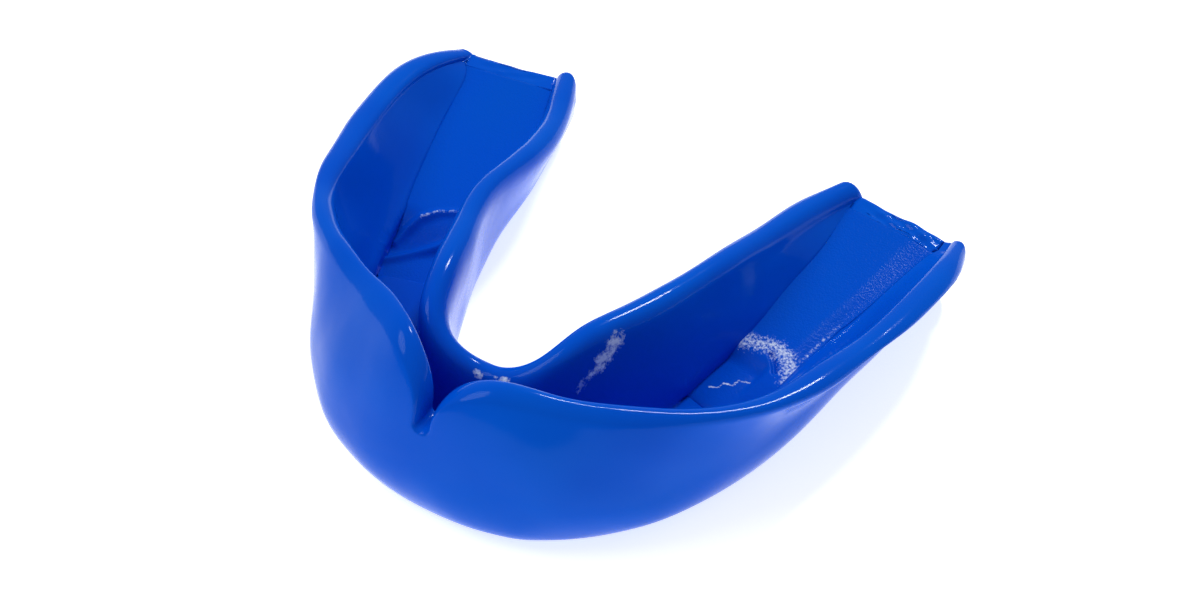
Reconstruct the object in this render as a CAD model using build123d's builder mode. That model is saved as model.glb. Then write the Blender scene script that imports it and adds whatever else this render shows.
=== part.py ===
from build123d import *
import os
from math import cos, sin, tanh, radians

# A single-arch mouthguard: one soft moulded shell that cups the upper teeth, and a bite pad
# set into its trough under the back teeth on each side. Nothing on it moves.
#
# Frame: millimetres. The arch lies on the XY plane with its trough open to +Z.
# X = 0 is the midline between the front teeth, the front of the arch faces -Y, and
# both arms run back towards +Y. The origin is under the middle of the front teeth.

os.makedirs("parts", exist_ok=True)

# ---- the arch, as a line under the middle of the teeth ----
ARM_HEADING = 83.5      # degrees that each arm has turned from the X axis at its back end
FRONT_TURN = 20.5       # distance over which the front curve opens into the arms
ARM_LENGTH = 60.0       # from the midline to the back end, along the arch

# ---- sizes that change along the arch, one value at each of these distances ----
DISTANCES = (0.0, 8.0, 16.0, 25.0, 35.0, 45.0, 54.0, 60.0)
OUTER_RIM_HEIGHT = (20.0, 19.0, 17.0, 14.5, 12.5, 11.5, 10.0, 7.8)
OUTER_RIM_REACH = (3.3, 3.5, 5.5, 9.0, 10.2, 10.4, 9.6, 8.2)
OUTER_BULGE_REACH = (6.6, 7.3, 7.8, 8.0, 7.5, 7.1, 7.3, 7.5)
TONGUE_RIM_HEIGHT = (11.5, 13.5, 15.5, 15.0, 13.8, 11.7, 9.7, 8.4)
TONGUE_RIM_REACH = (7.5, 6.7, 8.1, 9.0, 9.2, 9.9, 9.3, 8.2)
TONGUE_FOOT_REACH = (5.5, 6.4, 7.2, 7.6, 7.3, 7.5, 7.3, 6.6)
FLOOR_OUTER_REACH = (4.2, 4.1, 3.7, 3.2, 3.0, 3.1, 3.2, 3.2)
FLOOR_INNER_REACH = (3.0, 3.1, 3.2, 3.4, 3.7, 4.0, 4.3, 4.8)

# ---- sizes that stay the same along the arch ----
OUTER_RIM_THICKNESS = 2.5
TONGUE_RIM_THICKNESS = 3.2
BULGE_HEIGHT = 5.8      # height where the outer wall stands out furthest
FOOT_HEIGHT = 4.5       # height where the rounding under the tongue wall ends
OUTER_EDGE_ROUND = 3.4  # how far the rounding runs in under the outer wall
TONGUE_EDGE_ROUND = 3.0
SOLE_SPARE = 0.2        # depth drawn below the sole, then trimmed off so that the sole is one plane

# ---- the trough floor and the bite pads ----
FRONT_FLOOR = 3.2       # floor height under the front teeth
PAD_NOSE_START = 28.0   # distances along the arch where the pad's sloped nose starts and ends
PAD_NOSE_END = 36.0
PAD_TOP_FRONT = 5.2     # height of the pad's top just behind its nose
PAD_TOP_BACK = 7.4      # and at the back end of the arm
PAD_SEAT = 2.4          # height of the seat that the pad rests on
PAD_INSET = 0.2         # ledge of shell left beside the pad
END_LIP = 2.0           # shell left behind the pad at the back end of the arm

# ---- the notch for the upper lip's frenulum ----
NOTCH_BOTTOM = 12.8
NOTCH_HALF_WIDTH = 0.7
NOTCH_BACK = 1.5        # the slot starts this far behind the arch line, inside the trough
NOTCH_RUN = 12.0        # and runs this far forwards, out through the front wall
NOTCH_SPARE = 5.0       # how far the cut stands above the rim
LOBE_RADIUS = 4.6
LOBE_TOP = 20.2         # height where each lobe has rounded over to the rim

# ---- the back ends ----
OUTER_CORNER_ROUND = 2.6    # rounding of the back corners, seen from above
TONGUE_CORNER_ROUND = 1.8
CORNER_SPARE = 5.0          # how far the cutting shapes stand clear of the corners

# ---- where sections are drawn, as distances from the midline ----
SHELL_STATIONS = (4.0, 8.0, 12.0, 16.0, 22.0, PAD_NOSE_START, PAD_NOSE_END, 42.0, 48.0, 54.0, ARM_LENGTH)
PAD_STATIONS = (PAD_NOSE_START + 1.0, PAD_NOSE_END, 42.0, 48.0, 54.0, ARM_LENGTH - END_LIP)
LINE_STEPS = 240            # steps used to add up the arch line


def heading(distance):
    """Direction of the arch at a distance from the midline; the left side is negative."""
    return radians(ARM_HEADING) * tanh(distance / FRONT_TURN)


def arch_point(distance):
    """Point of the arch line, added up in short steps from the midline."""
    step = distance / LINE_STEPS
    middles = [step * (index + 0.5) for index in range(LINE_STEPS)]
    x = sum(cos(heading(middle)) for middle in middles) * step
    y = sum(sin(heading(middle)) for middle in middles) * step
    return x, y


def section_plane(distance):
    """Upright plane across the arch: its X axis points outwards and its Y axis up."""
    x, y = arch_point(distance)
    turn = heading(distance)
    return Plane(origin=(x, y, 0), x_dir=(sin(turn), -cos(turn), 0), z_dir=(-cos(turn), -sin(turn), 0))


def along(values, distance):
    """Smooth value at a distance: a cubic between the two nearest listed distances."""
    here = min(abs(distance), DISTANCES[-1])
    last = len(DISTANCES) - 1

    def slope(index):
        if index == 0:
            return 0.0
        before = index - 1
        after = min(index + 1, last)
        return (values[after] - values[before]) / (DISTANCES[after] - DISTANCES[before])

    first = max(index for index in range(last) if DISTANCES[index] <= here)
    span = DISTANCES[first + 1] - DISTANCES[first]
    t = (here - DISTANCES[first]) / span
    start = values[first] * (2 * t**3 - 3 * t**2 + 1) + slope(first) * span * (t**3 - 2 * t**2 + t)
    end = values[first + 1] * (3 * t**2 - 2 * t**3) + slope(first + 1) * span * (t**3 - t**2)
    return start + end


def floor_height(distance):
    """Flat floor in front, a sloped nose, then a pad top that rises gently to the back."""
    here = abs(distance)
    if here <= PAD_NOSE_START:
        return FRONT_FLOOR
    if here < PAD_NOSE_END:
        share = (here - PAD_NOSE_START) / (PAD_NOSE_END - PAD_NOSE_START)
        return FRONT_FLOOR + (PAD_TOP_FRONT - FRONT_FLOOR) * share
    share = (here - PAD_NOSE_END) / (ARM_LENGTH - PAD_NOSE_END)
    return PAD_TOP_FRONT + (PAD_TOP_BACK - PAD_TOP_FRONT) * share


def shell_outline(distance):
    """Closed outline of the shell and pad together, drawn in the section plane."""
    outer_rim = along(OUTER_RIM_REACH, distance)
    outer_bulge = along(OUTER_BULGE_REACH, distance)
    outer_rim_foot = along(OUTER_RIM_HEIGHT, distance) - OUTER_RIM_THICKNESS / 2
    tongue_rim = -along(TONGUE_RIM_REACH, distance)
    tongue_foot = -along(TONGUE_FOOT_REACH, distance)
    tongue_rim_foot = along(TONGUE_RIM_HEIGHT, distance) - TONGUE_RIM_THICKNESS / 2
    floor = floor_height(distance)
    floor_outer = along(FLOOR_OUTER_REACH, distance)
    floor_inner = -along(FLOOR_INNER_REACH, distance)

    under_outer = (outer_bulge - OUTER_EDGE_ROUND, -SOLE_SPARE)
    bulge = (outer_bulge, BULGE_HEIGHT)
    outer_rim_start = (outer_rim, outer_rim_foot)
    outer_rim_top = (outer_rim - OUTER_RIM_THICKNESS / 2, outer_rim_foot + OUTER_RIM_THICKNESS / 2)
    outer_rim_end = (outer_rim - OUTER_RIM_THICKNESS, outer_rim_foot)
    tongue_rim_start = (tongue_rim + TONGUE_RIM_THICKNESS, tongue_rim_foot)
    tongue_rim_top = (tongue_rim + TONGUE_RIM_THICKNESS / 2, tongue_rim_foot + TONGUE_RIM_THICKNESS / 2)
    tongue_rim_end = (tongue_rim, tongue_rim_foot)
    foot = (tongue_foot, FOOT_HEIGHT)
    under_tongue = (tongue_foot + TONGUE_EDGE_ROUND, -SOLE_SPARE)

    face_turn = (outer_bulge, (BULGE_HEIGHT + outer_rim_foot) / 2)
    Bezier(under_outer, (outer_bulge, -SOLE_SPARE), bulge)
    Bezier(bulge, face_turn, outer_rim_start)
    ThreePointArc(outer_rim_start, outer_rim_top, outer_rim_end)
    Line(outer_rim_end, (floor_outer, floor))
    Line((floor_outer, floor), (floor_inner, floor))
    Line((floor_inner, floor), tongue_rim_start)
    ThreePointArc(tongue_rim_start, tongue_rim_top, tongue_rim_end)
    Line(tongue_rim_end, foot)
    Bezier(foot, (tongue_foot, -SOLE_SPARE), under_tongue)
    Line(under_tongue, under_outer)


def pad_outline(distance):
    """Four-sided outline round the pad, from its seat to well above its top."""
    outer = along(FLOOR_OUTER_REACH, distance) - PAD_INSET
    inner = -along(FLOOR_INNER_REACH, distance) + PAD_INSET
    above = PAD_TOP_BACK + PAD_SEAT
    Polyline((outer, PAD_SEAT), (outer, above), (inner, above), (inner, PAD_SEAT), close=True)


stations = [-station for station in reversed(SHELL_STATIONS)] + [0.0] + list(SHELL_STATIONS)

# The moulding with the trough filled up to the tops of the pads.
with BuildPart() as filled_arch:
    for station in stations:
        with BuildSketch(section_plane(station)):
            with BuildLine():
                shell_outline(station)
            make_face()
    loft()
    split(bisect_by=Plane.XY, keep=Keep.TOP)

# The space that each pad takes out of that moulding.
with BuildPart() as left_pad_space:
    for station in PAD_STATIONS:
        with BuildSketch(section_plane(-station)):
            with BuildLine():
                pad_outline(station)
            make_face()
    loft()

with BuildPart() as right_pad_space:
    for station in PAD_STATIONS:
        with BuildSketch(section_plane(station)):
            with BuildLine():
                pad_outline(station)
            make_face()
    loft()

# A slot at the midline that flares at its top into two round lobes.
with BuildPart() as notch_space:
    with BuildSketch(Plane.XZ.offset(-NOTCH_BACK)):
        with BuildLine():
            slot_left = Line((-NOTCH_HALF_WIDTH, LOBE_TOP - LOBE_RADIUS), (-NOTCH_HALF_WIDTH, NOTCH_BOTTOM))
            slot_bottom = ThreePointArc(
                slot_left @ 1, (0, NOTCH_BOTTOM - NOTCH_HALF_WIDTH), (NOTCH_HALF_WIDTH, NOTCH_BOTTOM)
            )
            slot_right = Line(slot_bottom @ 1, (NOTCH_HALF_WIDTH, LOBE_TOP - LOBE_RADIUS))
            lobe_right = RadiusArc(slot_right @ 1, (NOTCH_HALF_WIDTH + LOBE_RADIUS, LOBE_TOP), LOBE_RADIUS)
            above_right = Line(lobe_right @ 1, (NOTCH_HALF_WIDTH + LOBE_RADIUS, LOBE_TOP + NOTCH_SPARE))
            above = Line(above_right @ 1, (-NOTCH_HALF_WIDTH - LOBE_RADIUS, LOBE_TOP + NOTCH_SPARE))
            above_left = Line(above @ 1, (-NOTCH_HALF_WIDTH - LOBE_RADIUS, LOBE_TOP))
            lobe_left = RadiusArc(above_left @ 1, slot_left @ 0, LOBE_RADIUS)
        make_face()
    extrude(amount=NOTCH_RUN)

# What is cut away to round the four back corners, as upright shapes seen from above.
with BuildPart() as corner_space:
    for side in (-1, 1):
        x, y = arch_point(side * ARM_LENGTH)
        turn = heading(side * ARM_LENGTH)
        end_from_above = Plane(origin=(x, y, 0), x_dir=(sin(turn), -cos(turn), 0), z_dir=(0, 0, 1))
        for reach, radius in (
            (OUTER_RIM_REACH[-1], OUTER_CORNER_ROUND),
            (-TONGUE_RIM_REACH[-1], TONGUE_CORNER_ROUND),
        ):
            across = 1 if reach > 0 else -1
            round_middle = (reach - across * radius, -side * radius)
            block_middle = (
                round_middle[0] + across * (radius + CORNER_SPARE) / 2,
                round_middle[1] + side * (radius + CORNER_SPARE) / 2,
            )
            with BuildSketch(end_from_above):
                with Locations(block_middle):
                    Rectangle(radius + CORNER_SPARE, radius + CORNER_SPARE)
                with Locations(round_middle):
                    Circle(radius, mode=Mode.SUBTRACT)
            extrude(amount=LOBE_TOP)

with BuildPart() as guard_shell:
    add(filled_arch.part)
    add(corner_space.part, mode=Mode.SUBTRACT)
    add(notch_space.part, mode=Mode.SUBTRACT)
    add(left_pad_space.part, mode=Mode.SUBTRACT)
    add(right_pad_space.part, mode=Mode.SUBTRACT)
guard_shell.part.label = "guard_shell"
export_step(guard_shell.part, "parts/guard_shell.step")

with BuildPart() as left_bite_pad:
    add(filled_arch.part)
    add(left_pad_space.part, mode=Mode.INTERSECT)
left_bite_pad.part.label = "left_bite_pad"
export_step(left_bite_pad.part, "parts/left_bite_pad.step")

with BuildPart() as right_bite_pad:
    add(filled_arch.part)
    add(right_pad_space.part, mode=Mode.INTERSECT)
right_bite_pad.part.label = "right_bite_pad"
export_step(right_bite_pad.part, "parts/right_bite_pad.step")

for finished in (guard_shell, left_bite_pad, right_bite_pad):
    size = finished.part.bounding_box().size
    print(f"{finished.part.label}: {size.X:.1f} x {size.Y:.1f} x {size.Z:.1f} mm")
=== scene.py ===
import math

import bpy
import numpy as np
from mathutils import Matrix, Vector


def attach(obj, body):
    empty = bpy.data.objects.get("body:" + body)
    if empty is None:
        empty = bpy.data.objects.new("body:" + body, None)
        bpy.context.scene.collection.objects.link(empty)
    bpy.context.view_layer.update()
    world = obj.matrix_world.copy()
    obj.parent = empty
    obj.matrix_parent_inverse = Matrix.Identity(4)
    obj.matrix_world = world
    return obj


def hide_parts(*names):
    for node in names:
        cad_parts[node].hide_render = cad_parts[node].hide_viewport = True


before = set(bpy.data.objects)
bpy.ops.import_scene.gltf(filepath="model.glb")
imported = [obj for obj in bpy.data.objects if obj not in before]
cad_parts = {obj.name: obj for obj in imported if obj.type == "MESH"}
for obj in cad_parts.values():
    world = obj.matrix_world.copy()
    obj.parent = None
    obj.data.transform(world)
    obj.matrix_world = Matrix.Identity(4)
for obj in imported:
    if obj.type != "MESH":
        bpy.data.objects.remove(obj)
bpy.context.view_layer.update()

# The looks of a single-arch mouthguard: a glossy blue shell and two grained bite pads.
# Sizes are in millimetres, in the CAD model's frame, and become metres when a mesh is made.

MM = 0.001

# ---- the arch line, as in the CAD model ----
ARM_HEADING = math.radians(83.5)
FRONT_TURN = 20.4
ARM_LENGTH = 60.0

# ---- sizes along the arch at these distances from the midline ----
# A soft guard is never quite even: the left lip wall leans in a little more than the right one.
DISTANCES = (0.0, 8.0, 16.0, 25.0, 35.0, 45.0, 54.0, 60.0)
RIGHT_SIDE = {
    "outer_rim_height": (20.1, 18.4, 16.3, 14.1, 12.5, 11.4, 10.0, 8.4),
    "outer_rim_reach": (3.3, 4.5, 6.6, 9.5, 10.2, 10.2, 9.4, 8.4),
    "outer_bulge_reach": (6.6, 7.4, 7.9, 8.1, 7.6, 7.0, 7.3, 7.7),
    "tongue_rim_height": (11.5, 13.5, 15.5, 15.0, 13.9, 11.7, 9.9, 9.0),
    "tongue_rim_reach": (7.5, 7.0, 8.5, 9.3, 9.4, 9.8, 9.4, 8.6),
    "tongue_foot_reach": (5.5, 6.4, 7.2, 7.6, 7.3, 7.5, 7.3, 6.7),
    "floor_outer_reach": (4.2, 4.1, 3.7, 3.2, 2.9, 3.1, 3.3, 3.3),
    "floor_inner_reach": (3.0, 3.1, 3.2, 3.4, 3.7, 4.0, 4.3, 5.0),
    "wall_foot_height": (3.8, 4.1, 4.4, 4.8, 5.2, 5.75, 6.4, 6.8),
}
LEFT_SIDE = dict(
    RIGHT_SIDE,
    outer_rim_height=(20.1, 19.1, 17.5, 15.2, 12.9, 11.6, 10.2, 8.1),
    outer_rim_reach=(3.3, 2.2, 4.0, 8.5, 10.2, 10.7, 9.9, 8.4),
    outer_bulge_reach=(6.6, 7.0, 7.4, 7.6, 7.4, 7.0, 7.2, 7.6),
    tongue_rim_reach=(7.5, 5.9, 7.4, 8.6, 8.8, 10.1, 9.0, 7.5),
    floor_inner_reach=(3.0, 3.1, 3.2, 3.4, 3.9, 5.0, 5.2, 5.3),
)

OUTER_RIM_THICKNESS = 2.5
TONGUE_RIM_THICKNESS = 3.2
BULGE_HEIGHT = 5.8
FOOT_HEIGHT = 4.5
OUTER_EDGE_ROUND = 3.4
TONGUE_EDGE_ROUND = 3.0
WALL_LEAN_POWER = 1.9       # how late the outer wall starts to lean in
LEAST_WALL = 1.6            # the lip wall is at least this thick below its rounded rim
INNER_ROUND = 0.6           # the lip rim's rounding is this much tighter on the trough side
FRONT_FLOOR = 3.2
PAD_SEAT = 2.4

NOTCH_DEPTH = 7.0
NOTCH_HALF_WIDTH = 0.4
# distance over which each lobe rises out of the notch, and how square its shoulder is
LOBE_SHAPES = {1: (9.0, 2.05), -1: (7.4, 2.7)}
NOTCH_EDGE_ROUND = 0.4      # the rim's rounding is tighter down in the notch

END_EDGE_ROUND = 0.6
END_CORNER_ROUND = 2.8
END_RUN = 10.0              # length of arm over which the rounded end takes shape
EDGE_INSETS = (0.03, 0.1, 0.2, 0.33, 0.5, 0.7)
FACE_SHARES = (0.12, 0.3, 0.55, 0.8, 1.0)
FACE_END = 0.97             # the end face's last ring is this close to its core line
CORE_INSET = 3.8            # the core line ends this far in from either side
CORE_HEIGHT = 3.2

PAD_START = 27.6
PAD_SHOULDER = 35.6
PAD_TOP_FRONT = 5.2
PAD_TOP_SLOPE = 0.1
END_LIP = 2.0               # shell left behind each pad


def curve_through(values):
    """Smooth curve through one value at each distance: level at the midline, free at the back."""
    x = np.array(DISTANCES)
    y = np.array(values, float)
    gap = np.diff(x)
    rise = np.diff(y) / gap
    count = len(x)
    system = np.zeros((count, count))
    right = np.zeros(count)
    system[0, 0], system[0, 1], right[0] = 2 * gap[0], gap[0], 6 * rise[0]
    system[-1, -1] = 1.0
    for row in range(1, count - 1):
        system[row, row - 1: row + 2] = gap[row - 1], 2 * (gap[row - 1] + gap[row]), gap[row]
        right[row] = 6 * (rise[row] - rise[row - 1])
    bend = np.linalg.solve(system, right)

    def curve(distance):
        here = np.clip(np.abs(distance), x[0], x[-1])
        k = np.clip(np.searchsorted(x, here, side="right") - 1, 0, count - 2)
        a, b, h = x[k + 1] - here, here - x[k], gap[k]
        cubic = (bend[k] * a**3 + bend[k + 1] * b**3) / (6 * h)
        return cubic + (y[k] / h - bend[k] * h / 6) * a + (y[k + 1] / h - bend[k + 1] * h / 6) * b

    return curve


LINE_STEP = 0.05
line_distance = np.arange(0.0, ARM_LENGTH + 5.0, LINE_STEP)
line_heading = ARM_HEADING * np.tanh(line_distance / FRONT_TURN)
line_x = np.concatenate([[0.0], np.cumsum(np.cos(line_heading[:-1]) * LINE_STEP)])
line_y = np.concatenate([[0.0], np.cumsum(np.sin(line_heading[:-1]) * LINE_STEP)])


def place(distance, out, up, side):
    """Points in space from distance along the arch, reach outwards and height."""
    distance, out, up = np.broadcast_arrays(distance, out, up)
    turn = np.interp(distance, line_distance, line_heading)
    x = np.interp(distance, line_distance, line_x) + np.sin(turn) * out
    y = np.interp(distance, line_distance, line_y) - np.cos(turn) * out
    return np.stack([side * x, y, up], axis=-1)


def smooth_step(edge_low, edge_high, value):
    """Rises smoothly from none to one between two edges."""
    share = np.clip((value - edge_low) / (edge_high - edge_low), 0.0, 1.0)
    return share * share * (3 - 2 * share)


def run_along(points):
    """Length of a polyline up to each of its points."""
    return np.concatenate([[0.0], np.cumsum(np.linalg.norm(np.diff(points, axis=0), axis=1))])


def along_line(points, shares):
    """Points at the given shares of a polyline's length."""
    run = run_along(points)
    return np.stack([np.interp(shares * run[-1], run, points[:, k]) for k in range(2)], axis=-1)


def bezier(p0, p1, p2, p3, count):
    """Points on a cubic curve from p0 to p3, led by p1 and p2."""
    t = np.linspace(0, 1, count)[:, None]
    return (1 - t)**3 * p0 + 3 * (1 - t)**2 * t * p1 + 3 * (1 - t) * t**2 * p2 + t**3 * p3


# ---- how finely the shell is divided, across each section and along the arch ----
RIM_POINTS = 8
WALL_POINTS = 26
FLOOR_POINTS = 24
TONGUE_WALL_POINTS = 19
NOTCH_STATIONS = 56
ARM_STATIONS = 140
POCKET_EDGE = 0.1           # where a pocket's front and back walls start, past its ends
POCKET_SLOPE = 0.3          # length of arm over which the pocket's front wall drops


def rim_path(curves, side):
    """The lip wall's top edge as (distance, height): up one side of the notch and along the lobe."""
    lobe_run, lobe_power = LOBE_SHAPES[side]
    quarter = np.linspace(0, math.pi / 2, 8)
    bottom = curves["outer_rim_height"](0.0) - NOTCH_DEPTH
    arc = np.stack(
        [NOTCH_HALF_WIDTH * np.sin(quarter), bottom - NOTCH_HALF_WIDTH * np.cos(quarter)], axis=-1
    )
    turn = np.linspace(0, math.pi / 2, 80)[1:]
    reach = 1 - np.cos(turn)**(2 / lobe_power)
    distance = NOTCH_HALF_WIDTH + lobe_run * reach
    drop = NOTCH_DEPTH * (1 - np.sin(turn)**(2 / lobe_power))
    lobe = np.stack([distance, curves["outer_rim_height"](distance) - drop], axis=-1)
    notch = along_line(np.concatenate([arc, lobe]), np.linspace(0, 1, NOTCH_STATIONS))
    rest = np.linspace(distance[-1], ARM_LENGTH, ARM_STATIONS)[1:]
    front = PAD_START + POCKET_EDGE
    lip = ARM_LENGTH - END_LIP
    pocket_front = (PAD_START, front, front + POCKET_SLOPE / 2, front + POCKET_SLOPE)
    nose = np.linspace(PAD_START + 0.5, PAD_START + 3.0, 14)
    back_lip = np.linspace(lip + POCKET_EDGE, ARM_LENGTH - 0.01, 18)
    rest = np.unique(np.round(np.concatenate([rest, pocket_front, nose, (lip,), back_lip]), 3))
    arm = np.stack([rest, curves["outer_rim_height"](rest)], axis=-1)
    path = np.concatenate([notch, arm])
    base = np.concatenate([np.linspace(0, distance[-1], NOTCH_STATIONS), rest])
    return path, base


def shell_half(sizes, side):
    """Grid of points of half the shell: one closed outline for each station from the midline."""
    curves = {name: curve_through(values) for name, values in sizes.items()}
    path, base = rim_path(curves, side)
    tangent = np.gradient(path, axis=0)
    tangent /= np.linalg.norm(tangent, axis=1, keepdims=True)
    inward = np.stack([tangent[:, 1], -tangent[:, 0]], axis=-1)
    inward[0] = (0.0, -1.0)
    climb = smooth_step(0.1, 0.9, np.arange(len(path)) / NOTCH_STATIONS)
    radii = NOTCH_EDGE_ROUND + (OUTER_RIM_THICKNESS / 2 - NOTCH_EDGE_ROUND) * climb
    outlines = []
    for rim, into, station, radius in zip(path, inward, base, radii):
        round_depths = radius * (1 - np.cos(np.linspace(0, math.pi / 2, RIM_POINTS)))
        outer_foot, inner_foot = wall_feet(curves, station, side)
        outer_side = wall_line(rim, into, station, BULGE_HEIGHT, round_depths)
        inner_side = wall_line(rim, into, station, outer_foot, INNER_ROUND * round_depths)
        faces = []
        for (line, depth), turn in ((outer_side, radius), (inner_side, INNER_ROUND * radius)):
            outer, inner = wall_faces(curves, line[:, 0], line[:, 1])
            middle, half = (outer + inner) / 2, (outer - inner) / 2
            fullness = np.sqrt(np.clip(1 - (1 - np.clip(depth / turn, 0, 1))**2, 0, 1))
            faces.append((middle + half * fullness, middle - half * fullness))
        outer_face = np.stack([outer_side[0][:, 0], faces[0][0], outer_side[0][:, 1]], axis=-1)[::-1]
        inner_face = np.stack([inner_side[0][:, 0], faces[1][1], inner_side[0][:, 1]], axis=-1)[1:]
        inner_face[-1, 1] = outer_wall_inside(curves, station, outer_foot)
        across = section_rest(curves, station, outer_foot, inner_foot, side)
        rest = np.concatenate([np.full((len(across), 1), station), across], axis=1)
        outlines.append(np.concatenate([outer_face, inner_face, rest]))
    grid = np.array(outlines)
    grid = soften(grid)
    grid = crinkle_end(grid, side)
    grid = round_end(grid)
    return grid


def seat_height(station, share, out, side):
    """Height of the shell's own floor: pocketed under the pads, whole behind them."""
    front = PAD_START + POCKET_EDGE
    back = ARM_LENGTH - END_LIP
    pocket = smooth_step(front, front + POCKET_SLOPE, station)
    lip = smooth_step(back, back + POCKET_EDGE, station)
    seat = FRONT_FLOOR + (PAD_SEAT - FRONT_FLOOR) * pocket
    return seat + (pad_top(station, share, out, side) - seat) * lip


def wall_feet(curves, station, side):
    """Heights where the lip wall and the tongue wall meet the floor or the top of a pad."""
    if station < PAD_START:
        return FRONT_FLOOR, FRONT_FLOOR
    outer = pad_top(station, 1.0, curves["floor_outer_reach"](station), side)
    inner = pad_top(station, 0.0, -curves["floor_inner_reach"](station), side)
    return max(outer, FRONT_FLOOR), max(inner, FRONT_FLOOR)


def outer_wall_inside(curves, distance, height):
    """Reach of the lip wall's inner face: it leans out to the rim, and bellies out behind the lobe."""
    foot = curves["wall_foot_height"](distance)
    rim_foot = curves["outer_rim_height"](distance) - OUTER_RIM_THICKNESS / 2
    foot_reach = curves["floor_outer_reach"](distance)
    rim_reach = curves["outer_rim_reach"](distance) - OUTER_RIM_THICKNESS
    power = 1.4 - 0.75 * smooth_step(6.0, 20.0, distance)
    share = np.clip((height - foot) / np.maximum(rim_foot - foot, 0.8), 0, 1.1)
    return foot_reach + (rim_reach - foot_reach) * share**power


def tongue_wall_inside(curves, distance, height):
    """Reach of the tongue wall's trough face, straight from its foot to its rim."""
    foot = curves["wall_foot_height"](distance)
    rim_foot = curves["tongue_rim_height"](distance) - TONGUE_RIM_THICKNESS / 2
    foot_reach = -curves["floor_inner_reach"](distance)
    rim_reach = -curves["tongue_rim_reach"](distance) + TONGUE_RIM_THICKNESS
    share = np.clip((height - foot) / np.maximum(rim_foot - foot, 0.8), 0, 1)
    return foot_reach + (rim_reach - foot_reach) * share


def wall_line(rim, into, station, low, round_depths):
    """Line down the lip wall from its rim, square to the rim at first, and its depth below the rim."""
    height = max(rim[1] - low, 0.5)
    start_pull = min(2.6, 0.35 * height)
    foot = np.array([station, low])
    dense = bezier(rim, rim + into * start_pull, foot + np.array([0.0, 0.4 * height]), foot, 80)
    run = run_along(dense)
    start = min(round_depths[-1], 0.6 * run[-1])
    wanted = np.concatenate(
        [round_depths * start / round_depths[-1], np.linspace(start, run[-1], WALL_POINTS)[1:]]
    )
    line = np.stack([np.interp(wanted, run, dense[:, k]) for k in range(2)], axis=-1)
    return line, wanted


def wall_faces(curves, distance, height):
    """Reach of the lip wall's outer and inner faces at points given by distance and height."""
    rim_foot = curves["outer_rim_height"](distance) - OUTER_RIM_THICKNESS / 2
    bulge = curves["outer_bulge_reach"](distance)
    rim_reach = curves["outer_rim_reach"](distance)
    share = np.clip((height - BULGE_HEIGHT) / np.maximum(rim_foot - BULGE_HEIGHT, 0.8), 0, 1.15)
    outer = bulge + (rim_reach - bulge) * share**WALL_LEAN_POWER
    return outer, np.minimum(outer_wall_inside(curves, distance, height), outer - LEAST_WALL)


def section_rest(curves, station, outer_foot, inner_foot, side):
    """Floor, tongue wall, underside and lower outer edge of one station, as (reach, height)."""
    rim_reach = -curves["tongue_rim_reach"](station)
    rim_foot = curves["tongue_rim_height"](station) - TONGUE_RIM_THICKNESS / 2
    foot = -curves["tongue_foot_reach"](station)
    bulge = curves["outer_bulge_reach"](station)
    radius = TONGUE_RIM_THICKNESS / 2
    floor_outer = outer_wall_inside(curves, station, outer_foot)
    floor_inner = tongue_wall_inside(curves, station, inner_foot)

    def straight(start, end, count):
        share = np.linspace(0, 1, count + 1)[1:, None]
        return np.array(start) + (np.array(end) - np.array(start)) * share

    half_turn = np.linspace(0, math.pi, 17)[1:, None]
    rim = np.array([rim_reach + radius, rim_foot]) + radius * np.concatenate(
        [np.cos(half_turn), np.sin(half_turn)], axis=1
    )
    quarter = np.linspace(0, math.pi / 2, 11)[1:, None]
    under = np.concatenate(
        [foot + TONGUE_EDGE_ROUND * (1 - np.cos(quarter)), FOOT_HEIGHT * (1 - np.sin(quarter))], axis=1
    )
    up_outer = np.concatenate(
        [
            bulge - OUTER_EDGE_ROUND * (1 - np.sin(quarter)),
            BULGE_HEIGHT * (1 - np.cos(quarter)),
        ],
        axis=1,
    )[:-1]
    share = np.linspace(1, 0, FLOOR_POINTS + 1)
    out = floor_inner + (floor_outer - floor_inner) * share
    across = np.stack([out, seat_height(station, share, out, side)], axis=-1)
    climb = np.linspace(inner_foot, rim_foot, TONGUE_WALL_POINTS)
    wall = np.stack([tongue_wall_inside(curves, station, climb), climb], axis=-1)
    return np.concatenate([
        across,
        wall,
        rim,
        straight((rim_reach, rim_foot), (foot, FOOT_HEIGHT), 12),
        under,
        straight((foot + TONGUE_EDGE_ROUND, 0), (bulge - OUTER_EDGE_ROUND, 0), 14),
        up_outer,
    ])


SOFTEN_PASSES = 10


def soften(grid):
    """Rounds the corners left in each outline, away from the flat underside and the lip rim."""
    count = grid.shape[1]
    weight = np.zeros(count)
    wall = RIM_POINTS + WALL_POINTS - 1
    floor_start = 2 * wall - 1
    floor_end = floor_start + FLOOR_POINTS + 2
    weight[wall + RIM_POINTS + 6: count - 24] = 1.0
    for _ in range(3):
        weight = (np.roll(weight, 1) + weight + np.roll(weight, -1)) / 3
    weight = np.repeat(weight[None, :], len(grid), axis=0)
    under_pad = smooth_step(PAD_START - 3.5, PAD_START - 0.5, grid[:, :, 0])
    near_floor = np.zeros(count)
    near_floor[floor_start - 9: floor_end + 9] = 1.0
    weight *= 1 - under_pad * near_floor
    for _ in range(SOFTEN_PASSES):
        average = (np.roll(grid, 1, axis=1) + np.roll(grid, -1, axis=1)) / 2
        grid = grid + (average - grid) * (0.5 * weight)[:, :, None]
    return grid


WRINKLE_HEIGHTS = {1: 0.09, -1: 0.03}


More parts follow.
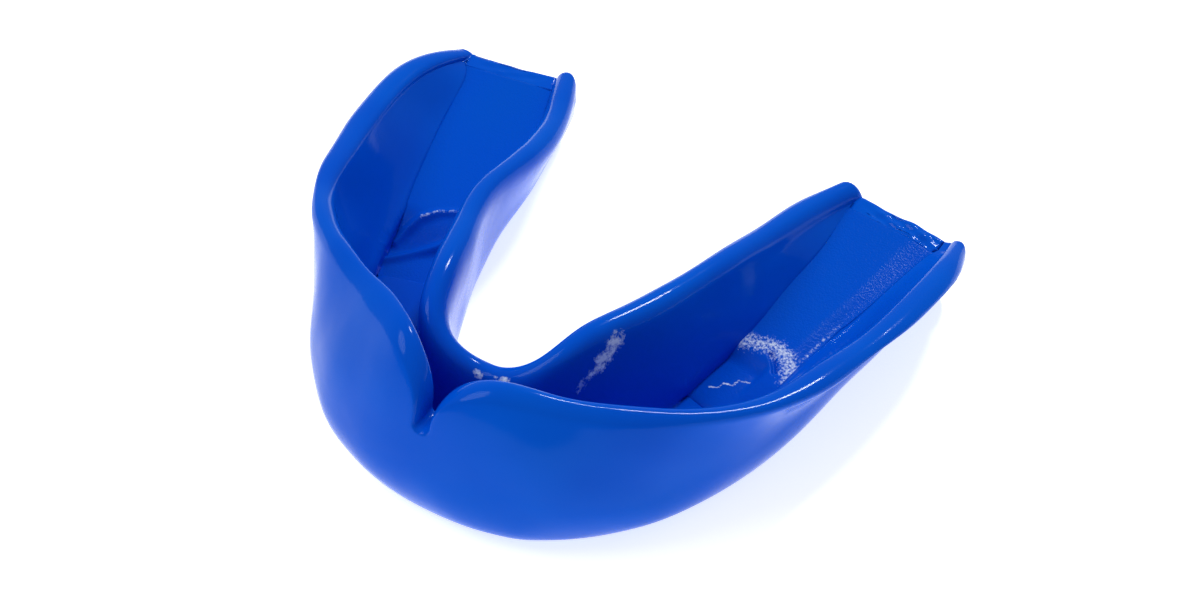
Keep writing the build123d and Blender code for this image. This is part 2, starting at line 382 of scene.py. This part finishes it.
def crinkle_end(grid, side):
    """Fine wrinkles across the lip behind the pad, where the rubber was trimmed."""
    distance, out, up = grid[:, :, 0], grid[:, :, 1], grid[:, :, 2]
    here = smooth_step(ARM_LENGTH - 2.6, ARM_LENGTH - 1.4, distance)
    here = here * smooth_step(-4.6, -1.0, out) * (1 - smooth_step(3.6, 5.2, out)) * (up > 5.5)
    wave = np.sin(1.3 * out + 4.6 * distance + side) + 0.6 * np.sin(2.3 * out - 3.9 * distance)
    grid[:, :, 2] += WRINKLE_HEIGHTS[side] * here * wave
    return grid


def end_share(distance):
    """How much of the back end's rounding has built up at a distance."""
    return np.clip((distance - (ARM_LENGTH - END_RUN)) / END_RUN, 0, 1)**2


def round_end(grid):
    """Rounds the back end of an arm, its corners and its edges, and draws its face in to a line."""
    last = grid[-1].copy()
    low, high = last[:, 1].min(), last[:, 1].max()

    def corner_back(reach):
        inside = np.minimum(high - reach, reach - low)
        short = np.clip(END_CORNER_ROUND - inside, 0, END_CORNER_ROUND)
        return END_CORNER_ROUND - np.sqrt(END_CORNER_ROUND**2 - short**2)

    back = np.maximum(corner_back(last[:, 1]), END_EDGE_ROUND)
    grid[:, :, 0] -= end_share(grid[:, :, 0]) * back[None, :]
    core = np.stack(
        [np.clip(last[:, 1], low + CORE_INSET, high - CORE_INSET), np.full(len(last), CORE_HEIGHT)], axis=-1
    )
    inward = core - last[:, 1:]
    run = np.linalg.norm(inward, axis=1)
    insets = [(inset, inset / run) for inset in EDGE_INSETS]
    deepest, edge_share = insets[-1]
    insets += [(deepest, edge_share + (FACE_END - edge_share) * share) for share in FACE_SHARES]
    rings = []
    for inset, share in insets:
        ring = last.copy()
        ring[:, 1:] = last[:, 1:] + inward * share[:, None]
        short = max(END_EDGE_ROUND - inset, 0.0)
        edge = END_EDGE_ROUND - math.sqrt(END_EDGE_ROUND**2 - short**2)
        ring[:, 0] = ARM_LENGTH - np.maximum(corner_back(ring[:, 1]), edge)
        rings.append(ring)
    return np.concatenate([grid, np.array(rings)])


def swell(points, size, height, seed):
    """Slow uneven swelling of moulded rubber: the sum of a few waves in set directions."""
    random = np.random.default_rng(seed)
    total = np.zeros(len(points))
    for _ in range(9):
        direction = random.normal(size=3)
        direction /= np.linalg.norm(direction)
        length = size * random.uniform(0.7, 1.6)
        total += np.sin(points @ direction * (2 * math.pi / length) + random.uniform(0, 2 * math.pi))
    return total * height / 3


def make_mesh(name, points, faces):
    """An object from points in millimetres and faces."""
    mesh = bpy.data.meshes.new(name)
    mesh.from_pydata((points * MM).tolist(), [], faces)
    mesh.update()
    mesh.shade_smooth()
    piece = bpy.data.objects.new(name, mesh)
    bpy.context.scene.collection.objects.link(piece)
    return piece


def normals_of(piece):
    mesh = piece.data
    normals = np.zeros(len(mesh.vertices) * 3)
    mesh.vertex_normals.foreach_get("vector", normals)
    return normals.reshape(-1, 3)


# painted highlight streaks and glints on the shell: distance, reach, height and side of both ends, then the
# width
PAINTED_GLINTS = (
    ((13.2, -4.7, 10.3, 1), (19.2, -5.3, 13.6, 1), 1.1),
    ((16.8, -5.0, 12.3, 1), (19.6, -5.4, 13.9, 1), 1.7),
    ((1.2, -4.9, 10.9, -1), (0.0, -4.7, 10.9, 1), 0.55),
    ((2.2, -4.8, 11.4, 1), (4.6, -4.6, 11.6, 1), 0.50),
)


def painted_glint_share(points):
    """How much painted highlight the shell carries at each point, from none to one."""
    total = np.zeros(len(points))
    for start, end, width in PAINTED_GLINTS:
        a = place(*start)
        run = place(*end) - a
        t = np.clip((points - a) @ run / (run @ run), 0, 1)
        gap = np.linalg.norm(points - a - t[:, None] * run, axis=1)
        total = np.maximum(total, np.exp(-((gap / width) ** 2)))
    return total


# shallow dents in the shell: distance, reach, height, side, depth and size
DENTS = (
    (8.0, 5.6, 12.0, 1, 0.35, 3.6),
    (7.0, 6.0, 3.0, 1, 0.22, 2.0),
    (9.0, 5.5, 11.0, -1, 0.25, 3.5),
    (22.0, 7.5, 7.0, 1, 0.20, 4.0),
    (24.0, 7.5, 8.0, -1, 0.25, 4.5),
    (17.5, -6.2, 10.0, 1, 0.25, 1.6),
)


def build_shell():
    """The whole shell as one closed mesh, from both halves, with its unevenness and its painted highlight
    streaks.
    """
    right = shell_half(RIGHT_SIDE, 1)
    left = shell_half(LEFT_SIDE, -1)
    right_points = place(right[:, :, 0], right[:, :, 1], right[:, :, 2], 1)
    left_points = place(left[:, :, 0], left[:, :, 1], left[:, :, 2], -1)
    middle = (right_points[:1] + left_points[:1]) / 2
    grid = np.concatenate([left_points[:0:-1], middle, right_points[1:]])
    rows, count = grid.shape[:2]
    faces = []
    for row in range(rows - 1):
        for k in range(count):
            after = (k + 1) % count
            faces.append(
                (row * count + k, row * count + after, (row + 1) * count + after, (row + 1) * count + k)
            )
    faces.append(tuple(range(count - 1, -1, -1)))
    faces.append(tuple((rows - 1) * count + k for k in range(count)))
    points = grid.reshape(-1, 3)
    shell = make_mesh("guard_shell_soft", points, faces)
    lift = swell(points, 11.0, 0.13, 5) * smooth_step(0.3, 3.0, points[:, 2])
    for distance, out, up, side, depth, size in DENTS:
        middle = place(distance, out, up, side)
        lift -= depth * np.exp(-((np.linalg.norm(points - middle, axis=1) / size) ** 2))
    points = points + normals_of(shell) * lift[:, None]
    points[:, 2] = np.maximum(points[:, 2], 0.0)
    # strength of the pale painted highlights and glints at each point of the shell
    painted_highlight = shell.data.attributes.new("painted_highlight", "FLOAT", "POINT")
    painted_highlight.data.foreach_set("value", painted_glint_share(points))
    shell.data.vertices.foreach_set("co", (points * MM).ravel())
    shell.data.update()
    return shell


# lines on the pads' tops, as (distance, reach): painted highlight lines and a slit on the right, creases on
# the left, the back crease also carrying a painted highlight
HIGHLIGHT_SHOULDER_LINE = ((36.4, -3.4), (37.2, -1.6), (37.6, 0.0), (37.3, 1.4), (36.4, 2.4), (35.4, 3.2))
HIGHLIGHT_EDGE_LINE = ((38.5, 2.6), (41.5, 2.7), (44.0, 2.8))
NOSE_HIGHLIGHT_SQUIGGLE = ((29.8, -2.5), (30.3, -1.6), (31.1, -1.6), (31.5, -0.7), (32.3, -0.7), (32.9, 0.3))
NOSE_SLIT = ((36.7, -0.2), (36.0, 0.7), (35.2, 1.5))
LEFT_CREASE_BACK = ((37.0, -2.4), (36.4, -0.6), (35.4, 1.0), (33.8, 2.1), (32.4, 2.8))
LEFT_CREASE_FRONT = ((29.2, 4.4), (30.4, 2.2), (31.6, 0.4), (32.8, -1.6), (33.6, -2.8))

NOSE_HEIGHT = 1.3
NOSE_CROWN = 0.045          # how fast the nose falls away to its sides
NOSE_SINK = 0.05            # the nose starts this far under the trough floor
SLIT_DEPTH = 0.45
PAD_EDGE_ROLL = 0.35
PAD_TUCK = 0.12             # a pad reaches this far into the shell around it
PAD_UNDERCUT = 0.2          # and this far into the floor of its pocket
PAD_NOSE_ROWS = 110
PAD_BACK_ROWS = 81
PAD_COLUMNS = 56


def pad_top(distance, share, out, side):
    """Height of a bite pad's top: it rises gently to the back and ends in a low nose in front."""
    top = PAD_TOP_FRONT + PAD_TOP_SLOPE * (distance - PAD_SHOULDER)
    base = FRONT_FLOOR - NOSE_SINK
    if side > 0:
        ahead = np.clip((PAD_SHOULDER - distance) / (PAD_SHOULDER - PAD_START), 0, 1)
        dome = base + NOSE_HEIGHT * np.sqrt(1 - ahead**2) * (1 - NOSE_CROWN * (out + 1.0) ** 2)
        inner = dome + (top - dome) * smooth_step(PAD_SHOULDER - 2.0, PAD_SHOULDER + 0.6, distance)
        fall = np.clip((PAD_SHOULDER + 0.6 - distance) / 6.0, 0, 1)
        outer = top - (top - dome) * fall**1.6
        height = inner + (outer - inner) * smooth_step(0.2, 1.1, out)
        height = height - SLIT_DEPTH * near_line(distance, out, NOSE_SLIT, 0.25)
        rolled = smooth_step(PAD_SHOULDER - 2, PAD_SHOULDER + 1, distance)
        height = height - PAD_EDGE_ROLL * smooth_step(0.72, 1.0, share) * rolled
    else:
        ramp = smooth_step(PAD_SHOULDER - 4.4, PAD_SHOULDER + 1.2, distance)
        height = base + (top - base) * ramp
        height = height + 0.45 * near_line(distance, out, LEFT_CREASE_BACK, 0.45)
        height = height + 0.50 * near_line(distance, out, LEFT_CREASE_FRONT, 0.50)
    return height


def near_line(distance, out, line, width):
    """One on a line of points, falling smoothly to nothing away from it."""
    nearest = np.full(np.broadcast(distance, out).shape, 1e6)
    for (s0, d0), (s1, d1) in zip(line[:-1], line[1:]):
        run, rise = s1 - s0, d1 - d0
        t = np.clip(((distance - s0) * run + (out - d0) * rise) / (run**2 + rise**2), 0, 1)
        nearest = np.minimum(nearest, np.hypot(distance - s0 - t * run, out - d0 - t * rise))
    return np.exp(-((nearest / width) ** 2))


def build_pad(name, sizes, side):
    """A bite pad as a closed mesh: its top, its bottom and the four sides between them."""
    curves = {key: curve_through(values) for key, values in sizes.items()}
    stations = np.concatenate([
        np.linspace(PAD_START, PAD_SHOULDER + 1.5, PAD_NOSE_ROWS),
        np.linspace(PAD_SHOULDER + 1.5, ARM_LENGTH - END_LIP + PAD_TUCK, PAD_BACK_ROWS)[1:],
    ])
    share = np.linspace(0, 1, PAD_COLUMNS)
    inner, outer = [], []
    for station in stations:
        outer_foot, inner_foot = wall_feet(curves, station, side)
        inner.append(tongue_wall_inside(curves, station, inner_foot) - PAD_TUCK)
        outer.append(outer_wall_inside(curves, station, outer_foot) + PAD_TUCK)
    inner, outer = np.array(inner), np.array(outer)
    out = inner[:, None] + (outer - inner)[:, None] * share[None, :]
    distance = np.broadcast_to(stations[:, None], out.shape)
    up = pad_top(distance, np.broadcast_to(share[None, :], out.shape), out, side)
    distance = distance - end_share(distance) * END_EDGE_ROUND
    top = place(distance, out, up, side).reshape(-1, 3)
    bottom = place(distance, out, np.full(out.shape, PAD_SEAT - PAD_UNDERCUT), side).reshape(-1, 3)
    rows, columns = out.shape
    faces = []

    def cell(row, column, level):
        return level * rows * columns + row * columns + column

    for row in range(rows - 1):
        for column in range(columns - 1):
            quad = [(row, column), (row, column + 1), (row + 1, column + 1), (row + 1, column)]
            faces.append(tuple(cell(r, c, 0) for r, c in quad))
            faces.append(tuple(cell(r, c, 1) for r, c in reversed(quad)))
    edge = [(0, c) for c in range(columns)]
    edge += [(r, columns - 1) for r in range(1, rows)]
    edge += [(rows - 1, c) for c in range(columns - 2, -1, -1)]
    edge += [(r, 0) for r in range(rows - 2, 0, -1)]
    for here, after in zip(edge, edge[1:] + edge[:1]):
        faces.append((cell(*here, 0), cell(*here, 1), cell(*after, 1), cell(*after, 0)))
    pad = make_mesh(name, np.concatenate([top, bottom]), faces)
    # strength of the pale painted highlights over the pad's top
    painted_highlight = pad.data.attributes.new("painted_highlight", "FLOAT", "POINT")
    painted_highlight.data.foreach_set("value", np.tile(pad_painted_highlight(stations[:, None], out, side).ravel(), 2))
    return pad


def pad_painted_highlight(distance, out, side):
    """How much painted highlight a pad carries: over the right shoulder, outer edge and nose, and on the
    left pad's back crease.
    """
    distance = np.broadcast_to(distance, out.shape)
    if side < 0:
        return 0.8 * near_line(distance, out, LEFT_CREASE_BACK[:3], 0.4)
    shoulder = near_line(distance, out, HIGHLIGHT_SHOULDER_LINE, 2.3)
    edge = 0.72 * near_line(distance, out, HIGHLIGHT_EDGE_LINE, 0.5)
    squiggle = 0.9 * near_line(distance, out, NOSE_HIGHLIGHT_SQUIGGLE, 0.24)
    return np.maximum(np.maximum(0.86 * shoulder, edge), squiggle)


def face_out(piece):
    """Turns every face outwards."""
    bpy.context.view_layer.objects.active = piece
    piece.select_set(True)
    bpy.ops.object.mode_set(mode="EDIT")
    bpy.ops.mesh.select_all(action="SELECT")
    bpy.ops.mesh.normals_make_consistent(inside=False)
    bpy.ops.object.mode_set(mode="OBJECT")
    piece.select_set(False)


# ---- materials ----

SHELL_BLUE = (0.0, 0.128, 0.68, 1.0)
SHELL_BLUE_DEEP = (0.0, 0.105, 0.64, 1.0)
PAD_BLUE = (0.0, 0.112, 0.62, 1.0)
# pale colour of the painted highlights and glints
PAINTED_HIGHLIGHT_BLUE = (0.78, 0.86, 1.0, 1.0)


def new_material(name, roughness, specular):
    material = bpy.data.materials.new(name)
    material.use_nodes = True
    shader = material.node_tree.nodes["Principled BSDF"]
    shader.inputs["Roughness"].default_value = roughness
    shader.inputs["Specular IOR Level"].default_value = specular
    shader.inputs["IOR"].default_value = 1.48
    return material, material.node_tree, shader


def noise(tree, scale, detail, roughness=0.5):
    """Noise over the object's own coordinates; scale is in waves per metre."""
    coordinates = tree.nodes.new("ShaderNodeTexCoord")
    texture = tree.nodes.new("ShaderNodeTexNoise")
    texture.inputs["Scale"].default_value = scale
    texture.inputs["Detail"].default_value = detail
    texture.inputs["Roughness"].default_value = roughness
    tree.links.new(coordinates.outputs["Object"], texture.inputs["Vector"])
    return texture


def colour_between(tree, texture, low, high, first, second, shader):
    ramp = tree.nodes.new("ShaderNodeValToRGB")
    ramp.color_ramp.elements[0].position = low
    ramp.color_ramp.elements[0].color = first
    ramp.color_ramp.elements[1].position = high
    ramp.color_ramp.elements[1].color = second
    tree.links.new(texture.outputs["Fac"], ramp.inputs["Fac"])
    tree.links.new(ramp.outputs["Color"], shader.inputs["Base Color"])


def bump(tree, texture, strength, distance, before=None):
    node = tree.nodes.new("ShaderNodeBump")
    node.inputs["Strength"].default_value = strength
    node.inputs["Distance"].default_value = distance
    tree.links.new(texture.outputs["Fac"], node.inputs["Height"])
    if before is not None:
        tree.links.new(before.outputs["Normal"], node.inputs["Normal"])
    return node


def roughness_between(tree, texture, low, high, shader):
    spread = tree.nodes.new("ShaderNodeMapRange")
    spread.inputs["To Min"].default_value = low
    spread.inputs["To Max"].default_value = high
    tree.links.new(texture.outputs["Fac"], spread.inputs["Value"])
    tree.links.new(spread.outputs["Result"], shader.inputs["Roughness"])


def shell_material():
    """Glossy rubber with slow colour change, soft dimples and fine orange peel, and pale painted highlight
    streaks.
    """
    material, tree, shader = new_material("glossy_blue_rubber", 0.12, 0.12)
    colour_between(tree, noise(tree, 70.0, 2.0), 0.3, 0.7, SHELL_BLUE_DEEP, SHELL_BLUE, shader)
    roughness_between(tree, noise(tree, 240.0, 3.0), 0.08, 0.17, shader)
    soft = bump(tree, noise(tree, 210.0, 1.0), 0.25, 0.0004)
    fine = bump(tree, noise(tree, 2600.0, 2.0), 0.05, 0.0001, soft)
    tree.links.new(fine.outputs["Normal"], shader.inputs["Normal"])
    add_painted_highlights(tree, shader, 1500.0)
    return material


def add_painted_highlights(tree, shader, grain):
    """Pale broken marks painted on as highlights and glints, where the painted highlight attribute is set;
    grain is how many there are in a metre.
    """
    painted_highlight = tree.nodes.new("ShaderNodeAttribute")
    painted_highlight.attribute_name = "painted_highlight"
    glint_speckle = noise(tree, grain, 4.0, 0.7)
    both = tree.nodes.new("ShaderNodeMath")
    both.operation = "MULTIPLY"
    tree.links.new(painted_highlight.outputs["Fac"], both.inputs[0])
    tree.links.new(glint_speckle.outputs["Fac"], both.inputs[1])
    edge = tree.nodes.new("ShaderNodeMapRange")
    edge.inputs["From Min"].default_value = 0.34
    edge.inputs["From Max"].default_value = 0.54
    tree.links.new(both.outputs["Value"], edge.inputs["Value"])
    mix = tree.nodes.new("ShaderNodeMix")
    mix.data_type = "RGBA"
    first_colour, second_colour = mix.inputs[6], mix.inputs[7]
    mixed_colour = mix.outputs[2]
    before = shader.inputs["Base Color"].links[0].from_socket
    tree.links.new(edge.outputs["Result"], mix.inputs["Factor"])
    tree.links.new(before, first_colour)
    second_colour.default_value = PAINTED_HIGHLIGHT_BLUE
    tree.links.new(mixed_colour, shader.inputs["Base Color"])


def pad_material():
    """The same rubber with a fine grain, which is less glossy, and pale painted highlights on the pads'
    shoulders, edges and creases.
    """
    material, tree, shader = new_material("grained_blue_rubber", 0.3, 0.07)
    colour_between(tree, noise(tree, 90.0, 2.0), 0.3, 0.7, SHELL_BLUE_DEEP, PAD_BLUE, shader)
    roughness_between(tree, noise(tree, 900.0, 3.0), 0.16, 0.30, shader)
    grain = bump(tree, noise(tree, 3800.0, 2.0, 0.6), 0.20, 0.0002)
    tree.links.new(grain.outputs["Normal"], shader.inputs["Normal"])
    add_painted_highlights(tree, shader, 3400.0)
    return material


def floor_material():
    material, tree, shader = new_material("pale_floor", 0.6, 0.2)
    shader.inputs["Emission Color"].default_value = (1.0, 1.0, 1.0, 1.0)
    shader.inputs["Emission Strength"].default_value = 0.57
    colour_between(
        tree, noise(tree, 6.0, 2.0), 0.3, 0.7, (0.93, 0.93, 0.94, 1.0), (0.96, 0.96, 0.965, 1.0), shader
    )
    return material


# ---- pieces ----

shell = build_shell()
right_pad = build_pad("right_bite_pad_soft", RIGHT_SIDE, 1)
left_pad = build_pad("left_bite_pad_soft", LEFT_SIDE, -1)

for piece in (shell, right_pad, left_pad):
    face_out(piece)
    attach(piece, "root")

shell.data.materials.append(shell_material())
grained = pad_material()
for pad in (right_pad, left_pad):
    pad.data.materials.append(grained)

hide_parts("guard_shell")
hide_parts("right_bite_pad")
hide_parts("left_bite_pad")

# ---- the floor, the light and the camera ----

FLOOR_HALF = 3.0            # metres
FLOOR_GAP = 0.02            # millimetres between the floor and the guard
floor_corners = np.array([[-1, -1, 0], [1, -1, 0], [1, 1, 0], [-1, 1, 0]]) * FLOOR_HALF / MM
floor = make_mesh("floor", floor_corners - np.array([0, 0, FLOOR_GAP]), [(0, 1, 2, 3)])
floor.data.materials.append(floor_material())


def area_light(name, position, target, size, power):
    data = bpy.data.lights.new(name, "AREA")
    data.shape = "DISK"
    data.size = size
    data.energy = power
    light = bpy.data.objects.new(name, data)
    bpy.context.scene.collection.objects.link(light)
    light.location = position
    light.rotation_euler = (Vector(target) - Vector(position)).to_track_quat("-Z", "Y").to_euler()
    return light


CAMERA_AZIMUTH = math.radians(30.0)
CAMERA_ELEVATION = math.radians(44.7)
CAMERA_ROLL = math.radians(1.17)
CAMERA_DISTANCE = 0.2437
CAMERA_AIM = Vector((0.0009, 0.0258, 0.0039))
CAMERA_LENS = 70.8

back = Vector((
    math.sin(CAMERA_AZIMUTH) * math.cos(CAMERA_ELEVATION),
    -math.cos(CAMERA_AZIMUTH) * math.cos(CAMERA_ELEVATION),
    math.sin(CAMERA_ELEVATION),
))
right = Vector((math.cos(CAMERA_AZIMUTH), math.sin(CAMERA_AZIMUTH), 0))
up = back.cross(right)
camera_right = right * math.cos(CAMERA_ROLL) + up * math.sin(CAMERA_ROLL)
camera_up = up * math.cos(CAMERA_ROLL) - right * math.sin(CAMERA_ROLL)

camera_data = bpy.data.cameras.new("camera")
camera_data.lens = CAMERA_LENS
camera_data.clip_start = 0.01
camera = bpy.data.objects.new("camera", camera_data)
bpy.context.scene.collection.objects.link(camera)
camera.matrix_world = Matrix.Translation(CAMERA_AIM + back * CAMERA_DISTANCE) @ Matrix((
    camera_right, camera_up, back
)).transposed().to_4x4()
bpy.context.scene.camera = camera

middle = Vector((0.0, 0.028, 0.006))
area_light("key", middle + Vector((0.03, 0.66, 0.75)) * 1.5, middle, 0.24, 8.0)
area_light("soft", middle + Vector((-0.9, -0.5, 1.2)), middle, 0.9, 7.0)

world = bpy.data.worlds.new("studio")
world.use_nodes = True
world.node_tree.nodes["Background"].inputs["Color"].default_value = (1.0, 1.0, 1.0, 1.0)
world.node_tree.nodes["Background"].inputs["Strength"].default_value = 0.32
bpy.context.scene.world = world
bpy.context.scene.view_settings.view_transform = "Standard"
bpy.context.scene.view_settings.look = "Medium High Contrast"
